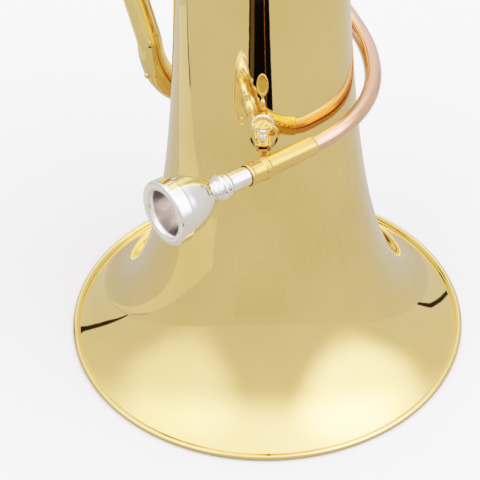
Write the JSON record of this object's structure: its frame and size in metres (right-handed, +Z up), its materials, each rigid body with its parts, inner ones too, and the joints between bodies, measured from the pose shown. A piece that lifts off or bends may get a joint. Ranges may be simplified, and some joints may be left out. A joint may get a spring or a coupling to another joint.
{
  "type": "euphonium",
  "caption": "Conical valved brass instrument standing on its bell, with piston valves, pull-out tuning slides, a wrapped leadpipe and a detachable mouthpiece.",
  "frame": {"origin": "centre of the bounding box footprint, on the plane of the bell rim", "axes": "+Z up along the bell's axis, away from the rim; the player sits on the -Y side"},
  "size_m": [0.3586, 0.3912, 0.6414],
  "materials": {
    "lacquered_brass": "mirror-polished yellow brass under clear lacquer",
    "rose_brass": "mirror-polished rose brass under clear lacquer",
    "silver_plate": "polished silver plate over brass",
    "nickel_plate": "nickel plate over brass",
    "valve_steel": "lapped stainless steel",
    "spring_steel": "drawn wire"
  },
  "bodies": {
    "horn": {"bell": "lacquered_brass", "bell_ferrule": "lacquered_brass", "bottom_bow": "lacquered_brass", "bow_guard": "lacquered_brass", "branch_ferrule": "lacquered_brass", "main_branch": "lacquered_brass", "top_bow_ferrule": "lacquered_brass", "top_bow": "lacquered_brass", "tuning_branch_ferrule": "lacquered_brass", "tuning_branch": "lacquered_brass", "valve_casing_1": "lacquered_brass", "top_cap_1": "nickel_plate", "bottom_cap_1": "nickel_plate", "valve_spring_1": "spring_steel", "slide_1_sleeves": "lacquered_brass", "valve_casing_2": "lacquered_brass", "top_cap_2": "nickel_plate", "bottom_cap_2": "nickel_plate", "valve_spring_2": "spring_steel", "slide_2_sleeves": "lacquered_brass", "valve_casing_3": "lacquered_brass", "top_cap_3": "nickel_plate", "bottom_cap_3": "nickel_plate", "valve_spring_3": "spring_steel", "slide_3_sleeves": "lacquered_brass", "valve_casing_4": "lacquered_brass", "top_cap_4": "nickel_plate", "bottom_cap_4": "nickel_plate", "valve_spring_4": "spring_steel", "slide_4_sleeves": "lacquered_brass", "tuning_slide_leg": "lacquered_brass", "receiver": "lacquered_brass", "leadpipe": "rose_brass", "receiver_brace": "lacquered_brass", "bell_brace_1": "lacquered_brass", "bell_brace_2": "lacquered_brass", "valve_brace": "lacquered_brass", "leadpipe_brace": "lacquered_brass", "lyre_holder": "lacquered_brass", "thumb_ring": "lacquered_brass", "finger_hook": "lacquered_brass"},
    "valve_1": {"piston_1": "valve_steel", "finger_button_1": "lacquered_brass"},
    "valve_2": {"piston_2": "valve_steel", "finger_button_2": "lacquered_brass"},
    "valve_3": {"piston_3": "valve_steel", "finger_button_3": "lacquered_brass"},
    "valve_4": {"piston_4": "valve_steel", "finger_button_4": "lacquered_brass"},
    "valve_slide_1": {"slide_1": "lacquered_brass"},
    "valve_slide_2": {"slide_2": "lacquered_brass"},
    "valve_slide_3": {"slide_3": "lacquered_brass"},
    "valve_slide_4": {"slide_4": "lacquered_brass"},
    "main_tuning_slide": {"tuning_slide": "lacquered_brass", "water_key_pin": "spring_steel"},
    "key": {"water_key": "lacquered_brass"},
    "mouthpiece_body": {"mouthpiece": "silver_plate"},
    "thumb_screw": {"lyre_thumb_screw": "silver_plate"}
  },
  "joints": [
    {"name": "valve_1_press", "type": "slide", "parent": "horn", "child": "valve_1", "axis": [0, 0, 1], "range_m": [0, 0.017], "stiffness_N_per_m": 120, "springref_m": -0.02, "deforming": ["valve_spring_1"]},
    {"name": "valve_2_press", "type": "slide", "parent": "horn", "child": "valve_2", "axis": [0, 0, 1], "range_m": [0, 0.017], "stiffness_N_per_m": 120, "springref_m": -0.02, "deforming": ["valve_spring_2"]},
    {"name": "valve_3_press", "type": "slide", "parent": "horn", "child": "valve_3", "axis": [0, 0, 1], "range_m": [0, 0.017], "stiffness_N_per_m": 120, "springref_m": -0.02, "deforming": ["valve_spring_3"]},
    {"name": "valve_4_press", "type": "slide", "parent": "horn", "child": "valve_4", "axis": [0, 0, 1], "range_m": [0, 0.017], "stiffness_N_per_m": 120, "springref_m": -0.02, "deforming": ["valve_spring_4"]},
    {"name": "valve_slide_1_pull", "type": "slide", "parent": "horn", "child": "valve_slide_1", "axis": [0, 0, 1], "range_m": [0, 0.075]},
    {"name": "valve_slide_2_pull", "type": "slide", "parent": "horn", "child": "valve_slide_2", "axis": [0, 0, 1], "range_m": [0, 0.018]},
    {"name": "valve_slide_3_pull", "type": "slide", "parent": "horn", "child": "valve_slide_3", "axis": [0, 0, 1], "range_m": [0, 0.075]},
    {"name": "valve_slide_4_pull", "type": "slide", "parent": "horn", "child": "valve_slide_4", "axis": [0, 0, 1], "range_m": [0, 0.075]},
    {"name": "tuning_slide_pull", "type": "slide", "parent": "horn", "child": "main_tuning_slide", "axis": [0, 0, 1], "range_m": [0, 0.065]},
    {"name": "water_key_hinge", "type": "hinge", "parent": "main_tuning_slide", "child": "key", "pos_m": [-0.12923, -0.0015, 0.4883], "axis": [0.5194, -0.8545, 0], "range_deg": [0, 14], "stiffness_Nm_per_rad": 0.05, "springref_deg": -28.65},
    {"name": "mouthpiece_pull", "type": "slide", "parent": "horn", "child": "mouthpiece_body", "axis": [-0.7608, -0.6475, 0.0454], "range_m": [0, 0.027]},
    {"name": "thumb_screw_turn", "type": "hinge", "parent": "horn", "child": "thumb_screw", "pos_m": [0.02876, -0.12356, 0.2234], "axis": [0, 0.2334, -0.9724], "continuous": true}
  ]
}
